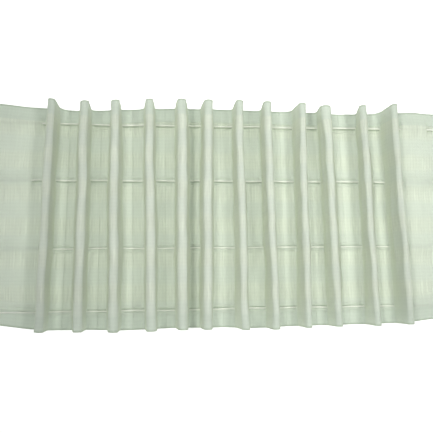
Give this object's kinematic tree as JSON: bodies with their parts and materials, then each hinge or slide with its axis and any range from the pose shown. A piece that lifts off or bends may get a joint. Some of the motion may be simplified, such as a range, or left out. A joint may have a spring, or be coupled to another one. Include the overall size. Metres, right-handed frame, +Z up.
{
  "type": "pencil pleat heading tape",
  "caption": "Deep sheer heading tape for a curtain top, drawn up on its cords into pencil pleats and lying flat with the pleats up.",
  "frame": {"origin": "centre of the bounding box's bottom face, on the surface the tape lies on, midway along and across the tape", "axes": "+X along the tape towards the end that moves when the cords are drawn tighter, +Y across the tape towards its top edge, +Z up out of the pleated face"},
  "size_m": [0.2018, 0.08, 0.0118],
  "materials": {
    "end_panel_left": "sheer woven polyester, slightly glossy, banded weave",
    "pleat_fold_01": "sheer woven polyester, slightly glossy, banded weave",
    "pleat_fold_02": "sheer woven polyester, slightly glossy, banded weave",
    "pleat_fold_03": "sheer woven polyester, slightly glossy, banded weave",
    "pleat_fold_04": "sheer woven polyester, slightly glossy, banded weave",
    "pleat_fold_05": "sheer woven polyester, slightly glossy, banded weave",
    "pleat_fold_06": "sheer woven polyester, slightly glossy, banded weave",
    "pleat_fold_07": "sheer woven polyester, slightly glossy, banded weave",
    "pleat_fold_08": "sheer woven polyester, slightly glossy, banded weave",
    "pleat_fold_09": "sheer woven polyester, slightly glossy, banded weave",
    "pleat_fold_10": "sheer woven polyester, slightly glossy, banded weave",
    "pleat_fold_11": "sheer woven polyester, slightly glossy, banded weave",
    "end_panel_right": "sheer woven polyester, slightly glossy, banded weave",
    "draw_cord_1": "smooth twisted polyester cord",
    "draw_cord_2": "smooth twisted polyester cord",
    "draw_cord_3": "smooth twisted polyester cord",
    "draw_cord_4": "smooth twisted polyester cord"
  },
  "bodies": {
    "left_end": {"end_panel_left": "end_panel_left", "draw_cord_1": "draw_cord_1", "draw_cord_2": "draw_cord_2", "draw_cord_3": "draw_cord_3", "draw_cord_4": "draw_cord_4"},
    "fold_01": {"pleat_fold_01": "pleat_fold_01"},
    "fold_02": {"pleat_fold_02": "pleat_fold_02"},
    "fold_03": {"pleat_fold_03": "pleat_fold_03"},
    "fold_04": {"pleat_fold_04": "pleat_fold_04"},
    "fold_05": {"pleat_fold_05": "pleat_fold_05"},
    "fold_06": {"pleat_fold_06": "pleat_fold_06"},
    "fold_07": {"pleat_fold_07": "pleat_fold_07"},
    "fold_08": {"pleat_fold_08": "pleat_fold_08"},
    "fold_09": {"pleat_fold_09": "pleat_fold_09"},
    "fold_10": {"pleat_fold_10": "pleat_fold_10"},
    "fold_11": {"pleat_fold_11": "pleat_fold_11"},
    "right_end": {"end_panel_right": "end_panel_right"}
  },
  "joints": [
    {"name": "draw_pleat_01", "type": "slide", "parent": "left_end", "child": "fold_01", "axis": [-1, 0, 0], "range_m": [0, 0.0022]},
    {"name": "draw_pleat_02", "type": "slide", "parent": "fold_01", "child": "fold_02", "axis": [-1, 0, 0], "range_m": [0, 0.0022]},
    {"name": "draw_pleat_03", "type": "slide", "parent": "fold_02", "child": "fold_03", "axis": [-1, 0, 0], "range_m": [0, 0.0022]},
    {"name": "draw_pleat_04", "type": "slide", "parent": "fold_03", "child": "fold_04", "axis": [-1, 0, 0], "range_m": [0, 0.0022]},
    {"name": "draw_pleat_05", "type": "slide", "parent": "fold_04", "child": "fold_05", "axis": [-1, 0, 0], "range_m": [0, 0.0022]},
    {"name": "draw_pleat_06", "type": "slide", "parent": "fold_05", "child": "fold_06", "axis": [-1, 0, 0], "range_m": [0, 0.0022]},
    {"name": "draw_pleat_07", "type": "slide", "parent": "fold_06", "child": "fold_07", "axis": [-1, 0, 0], "range_m": [0, 0.0022]},
    {"name": "draw_pleat_08", "type": "slide", "parent": "fold_07", "child": "fold_08", "axis": [-1, 0, 0], "range_m": [0, 0.0022]},
    {"name": "draw_pleat_09", "type": "slide", "parent": "fold_08", "child": "fold_09", "axis": [-1, 0, 0], "range_m": [0, 0.0022]},
    {"name": "draw_pleat_10", "type": "slide", "parent": "fold_09", "child": "fold_10", "axis": [-1, 0, 0], "range_m": [0, 0.0022]},
    {"name": "draw_pleat_11", "type": "slide", "parent": "fold_10", "child": "fold_11", "axis": [-1, 0, 0], "range_m": [0, 0.0022]},
    {"name": "draw_pleat_12", "type": "slide", "parent": "fold_11", "child": "right_end", "axis": [-1, 0, 0], "range_m": [0, 0.0022]}
  ],
  "couplings": [
    {"joint": "draw_pleat_02", "follows": "draw_pleat_01", "ratio": 1},
    {"joint": "draw_pleat_03", "follows": "draw_pleat_01", "ratio": 1},
    {"joint": "draw_pleat_04", "follows": "draw_pleat_01", "ratio": 1},
    {"joint": "draw_pleat_05", "follows": "draw_pleat_01", "ratio": 1},
    {"joint": "draw_pleat_06", "follows": "draw_pleat_01", "ratio": 1},
    {"joint": "draw_pleat_07", "follows": "draw_pleat_01", "ratio": 1},
    {"joint": "draw_pleat_08", "follows": "draw_pleat_01", "ratio": 1},
    {"joint": "draw_pleat_09", "follows": "draw_pleat_01", "ratio": 1},
    {"joint": "draw_pleat_10", "follows": "draw_pleat_01", "ratio": 1},
    {"joint": "draw_pleat_11", "follows": "draw_pleat_01", "ratio": 1},
    {"joint": "draw_pleat_12", "follows": "draw_pleat_01", "ratio": 1}
  ]
}
